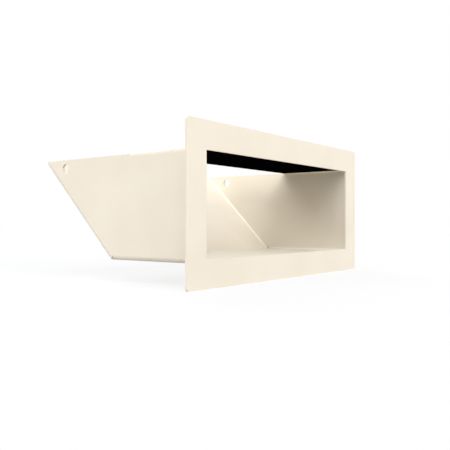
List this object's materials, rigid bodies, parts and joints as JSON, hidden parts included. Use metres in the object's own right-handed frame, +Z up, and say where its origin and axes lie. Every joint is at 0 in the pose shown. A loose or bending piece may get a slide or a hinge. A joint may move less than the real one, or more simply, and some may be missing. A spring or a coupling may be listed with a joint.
{
  "type": "ventilation grille",
  "caption": "Cream sheet-metal slot grille: a flat rectangular front plate with an oblong opening, and a folded duct behind it that turns the air upwards.",
  "frame": {"origin": "centre of the front plate's back face, on the duct's centre line, where the grille enters its wall cut-out", "axes": "+X along the opening, +Y back into the wall along the duct, +Z up; the front plate faces -Y"},
  "size_m": [0.2, 0.131, 0.09],
  "materials": {
    "plate_coat": "cream powder coat, satin",
    "duct_coat": "cream powder coat, satin, with a matt black underside of the roof"
  },
  "bodies": {
    "root": {"front_plate": "plate_coat", "duct_body": "duct_coat"}
  },
  "joints": []
}
